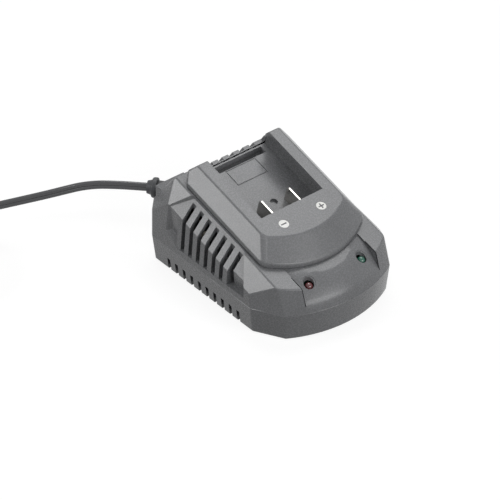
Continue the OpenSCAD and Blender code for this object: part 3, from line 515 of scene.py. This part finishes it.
relief_turn = math.radians(40)   # the lead points this far left of straight back
nose_l = 1.4                     # how far the nose covers the lead
work = merged_copy("strain_relief")
out = Vector((-math.sin(relief_turn), math.cos(relief_turn), 0))
nose_end = Vector(lead_route[0]) * MM + nose_l * MM * out
done = bmesh.ops.bisect_plane(work, geom=work.verts[:] + work.edges[:] + work.faces[:],
                              dist=1e-7, plane_co=nose_end, plane_no=out,
                              clear_outer=True)
cut = [e for e in done["geom_cut"] if isinstance(e, bmesh.types.BMEdge)]
bmesh.ops.bridge_loops(work, edges=cut)
clean_solid(work)
shade_by_angle(work, 50)
bush = add_piece("strain_relief_bush", work, plug_pvc, ["strain_relief"])
hold_flats(bush)


# ------------------------------------------------------------------ bottom shell
# Injection-moulded grey ABS with a fine spark-eroded grain, and a row of slots cut into
# both lower edges. It carries the board's posts and the sleeves for the long screws.

# Grained ABS: a dull mid grey, faintly mottled, with a broad soft shine. Its grain of a
# few tenths of a millimetre is drawn at 0.8 mm, because it would be too fine to show
casing_abs = moulded("grained grey ABS", "#77787a", 0.26, 0.8, 0.022, 0.16, 0.36)

SIDE_X = 48.6                # half the casing's width at the seam
END_Y = 62                   # half its length
SEAM_Z = 18.1
FOOT_X, FOOT_Z = 46.7, 0.8   # half its width at the lower edge, and that edge's height
CORNER = [(SIDE_X, -33.04, SEAM_Z), (38.2, -51.54, SEAM_Z)]
BACK_CORNER = [(SIDE_X, 56.1, SEAM_Z), (41.5, END_Y, SEAM_Z)]
BOW_Y, BOW_R = 13, 75        # axis and radius of the bowed front
LOW_LEAN = -1.9 / 17.3       # the bow grows by 1.9 mm over the lower shell's height
INSIDE = (0, 0, 20)
EASE = 0.02                  # the forms stand this far off the faces that stay
EDGE_R = 0.9                 # of every outer edge
SEAM_BREAK = 0.3             # bevel of the two edges that meet at the seam
TONGUE_SET = 1.2             # how far the tongue above the seam is set back


def bow_planes(height, radius, lean, ease):
    """Facets of the bowed front, 2 degrees apart; lean is how much its radius shrinks
    for each millimetre up."""
    planes = []
    for a in range(-29, 30, 2):
        out = Vector((math.sin(math.radians(a)), -math.cos(math.radians(a)), 0))
        planes.append((Vector((0, BOW_Y, height)) + out * (radius + ease),
                       (out + Vector((0, 0, lean))).normalized()))
    return planes


def eased(planes, ease):
    """Planes moved outwards, or inwards where ease is negative."""
    return [(p + n * ease, n) for p, n in planes]


def casing_block(low_z, high_z, planes):
    """A block that is wider and longer than the casing, cut by planes."""
    return cut_form((-60, -70, low_z), (60, 70, high_z), planes)


def lower_form(ease, low_z, high_z):
    """The outside of the lower shell as a solid form."""
    sides = [plane_through([(FOOT_X, 0, FOOT_Z), (FOOT_X, 1, FOOT_Z),
                            (SIDE_X, 0, SEAM_Z)], INSIDE),
             plane_through(CORNER + [(37.2, -49.64, FOOT_Z)], INSIDE),
             plane_through(BACK_CORNER + [(40.3, 60.8, FOOT_Z)], INSIDE)]
    back = plane_through([(0, END_Y, SEAM_Z), (1, END_Y, SEAM_Z), (0, 60.7, FOOT_Z)],
                         INSIDE)
    return casing_block(low_z, high_z, eased(both_sides(sides) + [back], ease)
                        + bow_planes(SEAM_Z, BOW_R, LOW_LEAN, ease))


def break_seam(lip):
    """Bevels the edges that a form has along the seam."""
    seam = [e for e in lip.edges if all(abs(v.co.z - SEAM_Z) < 0.1 for v in e.verts)]
    bmesh.ops.bevel(lip, geom=seam, offset=SEAM_BREAK, segments=1, profile=0.5,
                    affect="EDGES", material=-1, loop_slide=False)


def to_metres(*forms):
    """Shrinks forms drawn in millimetres to metres."""
    for form in forms:
        bmesh.ops.scale(form, verts=form.verts, vec=(MM, MM, MM))


# The lower edge is rounded and the seam's edge broken; the tongue that stands above the
# seam is left as it is
body = lower_form(EASE, FOOT_Z - EASE, 24)
round_edges(body, EDGE_R)
lip = lower_form(EASE, -1, SEAM_Z + EASE)
break_seam(lip)
tongue = lower_form(-TONGUE_SET, SEAM_Z - 3, 24)
lip = trimmed(lip, [tongue], "UNION")
to_metres(body, lip)
work = trimmed(merged_copy("bottom_shell"), [body, lip])
clean_solid(work)
shade_by_angle(work, 30)
lower_casing = add_piece("lower_casing", work, casing_abs, ["bottom_shell"])
hold_flats(lower_casing)


# ------------------------------------------------------------------ feet and screws
# Four rubber pads pressed into round pockets. Long zinc plated screws come up through
# the bottom shell, short ones go up into the dock from inside the casing, and four more
# hold the board down on its posts.

# Moulded rubber: matt black, with hardly a highlight
finish_node("rubber_feet", moulded("black rubber", "#161617", 0.75, 0.7, 0.03, 0.15))
# Zinc plate: bluer, darker and duller than nickel
zinc = metal("zinc plated steel", "#b9bcc0", 0.3)
for node in ("housing_screws", "pcb_screws", "dock_screws"):
    finish_node(node, zinc)


# ------------------------------------------------------------------ circuit
# A single-sided board under green lacquer with a switching transformer, its
# capacitors, choke and fuse, the rectifier, a finned heatsink and two small chips.

def lacquered_board():
    """Green lacquer, glossy and deep; the copper tracks under it show as paler lines
    and stand up by 0.035 mm. The mesh of tracks is 7 mm wide."""
    material, tree = new_tree("green solder lacquer")
    place = add_node(tree, "ShaderNodeTexCoord")
    tracks = add_node(tree, "ShaderNodeTexVoronoi",
                      {"voronoi_dimensions": "2D", "distance": "MANHATTAN",
                       "feature": "DISTANCE_TO_EDGE", "Scale": 1 / (7 * MM)},
                      {"Vector": place.outputs["Object"]})
    copper = add_node(tree, "ShaderNodeMapRange", {1: 0.10, 2: 0.14, 3: 0.0, 4: 1.0},
                      {0: tracks.outputs["Distance"]})
    tone = add_node(tree, "ShaderNodeMix",
                    {"data_type": "RGBA", 6: linear("#12402a"), 7: linear("#2c7048")},
                    {0: copper.outputs[0]})
    relief = add_node(tree, "ShaderNodeBump", {"Strength": 1.0, "Distance": 0.035 * MM},
                      {"Height": copper.outputs[0]})
    surface = add_node(tree, "ShaderNodeBsdfPrincipled",
                       {"Roughness": 0.3, "Coat Weight": 0.4},
                       {"Base Color": tone.outputs[2], "Normal": relief.outputs[0]})
    add_node(tree, "ShaderNodeOutputMaterial", {}, {"Surface": surface.outputs[0]})
    return material


def wound(name, dark, light, pitch_mm, roughness, metallic=0.0):
    """Layers of wire or tape side by side: fine bands of light and dark."""
    wave_pitch = 0.314           # wavelength of the wave pattern at a scale of 1
    material, tree = new_tree(name)
    place = add_node(tree, "ShaderNodeTexCoord")
    turns = add_node(tree, "ShaderNodeTexWave",
                     {"bands_direction": "X", "wave_profile": "SIN",
                      "Scale": wave_pitch / (pitch_mm * MM), "Distortion": 0.4},
                     {"Vector": place.outputs["Object"]})
    tone = add_node(tree, "ShaderNodeMix",
                    {"data_type": "RGBA", 6: linear(dark), 7: linear(light)},
                    {0: turns.outputs["Fac"]})
    relief = add_node(tree, "ShaderNodeBump",
                      {"Strength": 1.0, "Distance": pitch_mm * 0.3 * MM},
                      {"Height": turns.outputs["Fac"]})
    surface = add_node(tree, "ShaderNodeBsdfPrincipled",
                       {"Roughness": roughness, "Metallic": metallic},
                       {"Base Color": tone.outputs[2], "Normal": relief.outputs[0]})
    add_node(tree, "ShaderNodeOutputMaterial", {}, {"Surface": surface.outputs[0]})
    return material


finish_node("pcb", lacquered_board())
# Transformer: dull grainy ferrite, a black bobbin and glossy tape over the winding
finish_node("transformer_core", moulded("sintered ferrite", "#2b2b2d", 0.6, 0.5, 0.04, 0.2))
finish_node("transformer_bobbin", moulded("phenolic bobbin", "#191a19", 0.5, 0.7, 0.01))
finish_node("transformer_winding", wound("yellow polyester tape", "#b48a12", "#e0bb32",
                                         1.2, 0.3))
# Capacitors: tight shiny sleeves on the cans, and a smooth moulded box
finish_node("bulk_capacitor", moulded("shrunk black PVC sleeve", "#1d1e22", 0.3, 2, 0.01))
finish_node("output_capacitor", moulded("shrunk blue PVC sleeve", "#22345c", 0.3, 2, 0.01))
finish_node("x_capacitor", moulded("yellow polyester box", "#c9a63a", 0.4, 1, 0.01))
# Mains side: copper seen through clear enamel, and a glazed off-white fuse
finish_node("line_choke", wound("enamelled copper wire", "#7a3413", "#c9713a",
                                0.9, 0.3, 0.7))
finish_node("line_fuse", moulded("fuse ceramic", "#dcd8ca", 0.25, 1.5, 0.005))
# Bare extruded aluminium: silvery and satin
finish_node("heatsink", metal("bare aluminium", "#b8babd", 0.4, 0.8))
# Moulded epoxy: dull black and slightly rough
epoxy = moulded("black moulded epoxy", "#191a1c", 0.55, 0.4, 0.02, 0.12)
for node in ("bridge_rectifier", "switching_transistor", "output_diode", "control_chip",
             "optocoupler"):
    finish_node(node, epoxy)
# Extruded PVC: smooth, even colours with a soft shine
for node, shade, colour in (("battery_lead_negative", "black", "#1b1c1e"),
                            ("battery_lead_positive", "red", "#a8211b"),
                            ("mains_lead_live", "brown", "#5e351c"),
                            ("mains_lead_neutral", "blue", "#24509a")):
    finish_node(node, moulded(shade + " PVC insulation", colour, 0.35, 1.5, 0.005))


# ------------------------------------------------------------------ top shell
# The same grained ABS. Its sides carry a sunk bay with seven upright vents, its front a
# sunk panel with the two light holes, and its back slope six more vents.

TILT = math.radians(15.08)   # of the casing's top face and the dock
BEND_X = 47.5                # half the width at the bend of the side walls
CREASE_X = 38.6              # half the width of the top face
FACE_Z = 46.513              # height of the top face's plane at y = 0
CREST = (46.977, 59.172)     # y and z of the ridge between top face and back slope
HIGH_LEAN = 0.31             # how far the bow leans back for each millimetre up
BODY_Z = SEAM_Z - 8          # the form starts below the seam, out of the way


def upper_form(ease, low_z):
    """The outside of the top shell as a solid form."""
    bend_front, bend_back = (BEND_X, 0, 35.1), (BEND_X, 42.977, 45.844)
    sides = [plane_through([(SIDE_X, 0, SEAM_Z), (SIDE_X, 1, SEAM_Z), (BEND_X, 0, 39.1)],
                           INSIDE),
             plane_through(CORNER + [(38, -46.44, SEAM_Z + 17.5)], INSIDE),
             plane_through(BACK_CORNER + [(SIDE_X, 56.1, 30)], INSIDE),
             plane_through([bend_front, bend_back, (CREASE_X, 0, FACE_Z)], INSIDE),
             plane_through([bend_back, (BEND_X, 57.1, 35.4), (CREASE_X, *CREST)], INSIDE)]
    ends = [plane_through([(0, END_Y, 0), (1, END_Y, 0), (0, END_Y, 9)], INSIDE),
            plane_through([(0, *CREST), (1, *CREST), (0, END_Y, 37.1)], INSIDE),
            plane_through([(0, 0, FACE_Z), (1, 0, FACE_Z),
                           (0, math.cos(TILT), FACE_Z + math.sin(TILT))], INSIDE)]
    return casing_block(low_z, 70, eased(both_sides(sides) + ends, ease)
                        + bow_planes(SEAM_Z, BOW_R, HIGH_LEAN, ease))


# Every outer edge is rounded and the seam's edge broken; the block round the lead's
# opening is joined on before the shell is cut to this form
seat_edge_r = 0.6
body = upper_form(EASE, BODY_Z)
round_edges(body, EDGE_R)
seat = cut_form((-41 - EASE, 40, 32.6 - EASE),
                (-20.5 + EASE, END_Y + EASE, 46.4 + EASE), [])
round_edges(seat, seat_edge_r)
body = trimmed(body, [seat], "UNION")
lip = upper_form(EASE, SEAM_Z - EASE)
break_seam(lip)
seat = cut_form((-43, 40, 30), (-18, END_Y + 1, 48), [])
lip = trimmed(lip, [seat], "UNION")
to_metres(body, lip)
work = trimmed(merged_copy("top_shell"), [body, lip])

# A groove runs along both sides of the sunk panel
panel_half_w, groove_w, groove_depth = 26.8, 0.45, 0.6
for side in (-1, 1):
    near, far = sorted((side * panel_half_w, side * (panel_half_w + groove_w)))
    groove = trimmed(cut_form((near, -66, 22.2), (far, -42.6, 44), []),
                     [upper_form(-groove_depth, BODY_Z)], "DIFFERENCE")
    to_metres(groove)
    work = trimmed(work, [groove], "DIFFERENCE")
clean_solid(work)
shade_by_angle(work, 30)
upper_casing = add_piece("upper_casing", work, casing_abs, ["top_shell"])
hold_flats(upper_casing)


# ------------------------------------------------------------------ dock
# The battery slides down this tilted block: two undercut lips hold it, and its pocket
# has a latch recess at the back. Moulded in the casing's ABS and screwed on from below.

DOCK_Z = 58.63               # height of the dock's top plane at y = 0


def on_dock(x, u, w):
    """A point of the dock's tilted frame; u runs up the slope and w off its top."""
    return Vector((x, u * math.cos(TILT) - w * math.sin(TILT),
                   DOCK_Z + u * math.sin(TILT) + w * math.cos(TILT)))


def dock_plane(at, normal):
    """(point, outward normal) of a plane given in the dock's tilted frame."""
    return on_dock(*at), (on_dock(*normal) - on_dock(0, 0, 0)).normalized()


def dock_slab(planes):
    """A block that is wider and longer than the dock's tilted foot, cut by planes."""
    return cut_form((-60, -80, 0), (60, 80, 90), planes)


def arc(centre, r, start, end, steps):
    """Points along an arc, seen from above."""
    return [Vector((centre[0] + r * math.cos(a), centre[1] + r * math.sin(a)))
            for a in (start + (end - start) * i / steps for i in range(steps + 1))]


# Half of the foot's outline, from the middle of its bowed front to the back
foot_half_w, back_half_w = 37.2, 27.8
round_r, foot_r, foot_y = 7, 58, 15.3
turn = math.asin((foot_half_w - round_r) / (foot_r - round_r))
right = arc((0, foot_y), foot_r, -math.pi / 2, -math.pi / 2 + turn, 10)
right += arc((foot_half_w - round_r, foot_y - (foot_r - round_r) * math.cos(turn)),
             round_r, -math.pi / 2 + turn, 0, 8)[1:]
right += [Vector((foot_half_w, CREST[0] - 9.4)), Vector((back_half_w, CREST[0]))]
sides = []
for a, b in zip(right, right[1:]):
    out = Vector((b.y - a.y, a.x - b.x, 0)).normalized()
    sides.append((Vector((a.x, a.y, 0)), out))
# Slopes of its sides, back and front: each drops so far over such a run
top_half_w, side_drop, side_run = 29.5, 8, 6.8
top_back_u, back_drop, back_run = 38.6, 8, 4.9
rim_r, rim_u, front_run = 48.5, 16.3, 1.6    # the bowed front drops 1 mm over its run
sides.append(dock_plane((top_half_w, 0, 0), (side_drop, 0, side_run)))
ends = [dock_plane((0, 0, 0), (0, 0, 1)), (Vector((0, CREST[0], 0)), Vector((0, 1, 0))),
        dock_plane((0, top_back_u, 0), (0, back_drop, back_run))]
for a in range(-45, 46, 2):
    out = (math.sin(math.radians(a)), -math.cos(math.radians(a)))
    ends.append(dock_plane((out[0] * rim_r, rim_u + out[1] * rim_r, 0),
                           (out[0], out[1], front_run)))

# The two corners between its side slopes and its bowed front are rounded, drawn as
# planes that lean on a cylinder along the corner
corner_r, corner_steps = 10, 5
corner_turn = math.radians(37)   # where on the bow the corner stands
corner = Vector((36.1, -29.6, 42.7))
slope = sides[-1][1]
front = dock_plane((0, 0, 0), (math.sin(corner_turn), -math.cos(corner_turn),
                               front_run))[1]
axis = corner - corner_r * (slope + front) / (1 + slope.dot(front))
for step in range(1, corner_steps):
    lean = slope.slerp(front, step / corner_steps).normalized()
    sides.append((axis + corner_r * lean, lean))
outside = both_sides(sides) + ends
dock_edge_r = 1.0
body = casing_block(20, 90, eased(outside, EASE))
round_edges(body, dock_edge_r)
# What lies inside the casing stays as it is
below = dock_slab([dock_plane((0, 0, -11.28), (0, 0, 1))])
body = trimmed(body, [below], "UNION")
# A shadow gap: the foot's lowest half millimetre is set back
gap_top, gap_foot, gap_set = -10.8, -11.4, 1.1
gap = dock_slab([dock_plane((0, 0, gap_top), (0, 0, 1)),
                 dock_plane((0, 0, gap_foot), (0, 0, -1))])
core = cut_form((-60, -70, 0), (60, CREST[0], 95), eased(outside, -gap_set))
gap = trimmed(gap, [core], "DIFFERENCE")
to_metres(body, gap)
work = trimmed(merged_copy("dock"), [body])
work = trimmed(work, [gap], "DIFFERENCE")
clean_solid(work)
shade_by_angle(work, 30)
battery_dock = add_piece("battery_dock", work, casing_abs, ["dock"])
hold_flats(battery_dock)


# ------------------------------------------------------------------ contacts
# A black glass-filled nylon block behind the pocket's front wall holds two stamped,
# nickel plated blades. Two white discs show the poles.

# Glass-filled nylon: black and dull, with a rough skin
finish_node("terminal_block", moulded("glass-filled black nylon", "#202124",
                                      0.55, 0.6, 0.03))
finish_node("blade_negative", nickel)
finish_node("blade_positive", nickel)


def signed_disc():
    """Satin white ABS; the sign sunk into the disc's top is filled in grey."""
    sign_top = DOCK_Z * math.cos(TILT) - 0.32    # along the dock's normal, in mm
    material, tree = new_tree("white disc with a grey sign")
    place = add_node(tree, "ShaderNodeTexCoord")
    height = add_node(tree, "ShaderNodeVectorMath",
                      {"operation": "DOT_PRODUCT", 1: (0, -math.sin(TILT), math.cos(TILT))},
                      {0: place.outputs["Object"]})
    sunk = add_node(tree, "ShaderNodeMath",
                    {"operation": "LESS_THAN", 1: sign_top * MM},
                    {0: height.outputs["Value"]})
    tone = add_node(tree, "ShaderNodeMix",
                    {"data_type": "RGBA", 6: linear("#f3f3f0"), 7: linear("#5c5d60")},
                    {0: sunk.outputs[0]})
    haze = add_node(tree, "ShaderNodeTexNoise", {"Scale": 1 / (0.6 * MM), "Detail": 2.0},
                    {"Vector": place.outputs["Object"]})
    relief = add_node(tree, "ShaderNodeBump", {"Strength": 1.0, "Distance": 0.01 * MM},
                      {"Height": haze.outputs["Fac"]})
    surface = add_node(tree, "ShaderNodeBsdfPrincipled", {"Roughness": 0.45},
                       {"Base Color": tone.outputs[2], "Normal": relief.outputs[0]})
    add_node(tree, "ShaderNodeOutputMaterial", {}, {"Surface": surface.outputs[0]})
    return material


disc_white = signed_disc()
finish_node("polarity_disc_negative", disc_white)
finish_node("polarity_disc_positive", disc_white)


# ------------------------------------------------------------------ lights
# Two 5 mm lamps cast in tinted epoxy, one red and one green, standing in the light
# holes just below the panel. Unlit, they look dark with a bright spot on the dome.

def tinted_epoxy(name, colour):
    """Cast epoxy: dark, smooth and very glossy."""
    material, tree = new_tree(name)
    place = add_node(tree, "ShaderNodeTexCoord")
    haze = add_node(tree, "ShaderNodeTexNoise", {"Scale": 1 / (1.5 * MM), "Detail": 2.0},
                    {"Vector": place.outputs["Object"]})
    gloss = add_node(tree, "ShaderNodeMapRange", {1: 0.3, 2: 0.7, 3: 0.04, 4: 0.1},
                     {0: haze.outputs["Fac"]})
    surface = add_node(tree, "ShaderNodeBsdfPrincipled",
                       {"Base Color": linear(colour), "IOR": 1.54, "Coat Weight": 0.5,
                        "Coat Roughness": 0.03}, {"Roughness": gloss.outputs[0]})
    add_node(tree, "ShaderNodeOutputMaterial", {}, {"Surface": surface.outputs[0]})
    return material


finish_node("led_red", tinted_epoxy("red tinted epoxy", "#5e2226"))
finish_node("led_green", tinted_epoxy("green tinted epoxy", "#135e4b"))
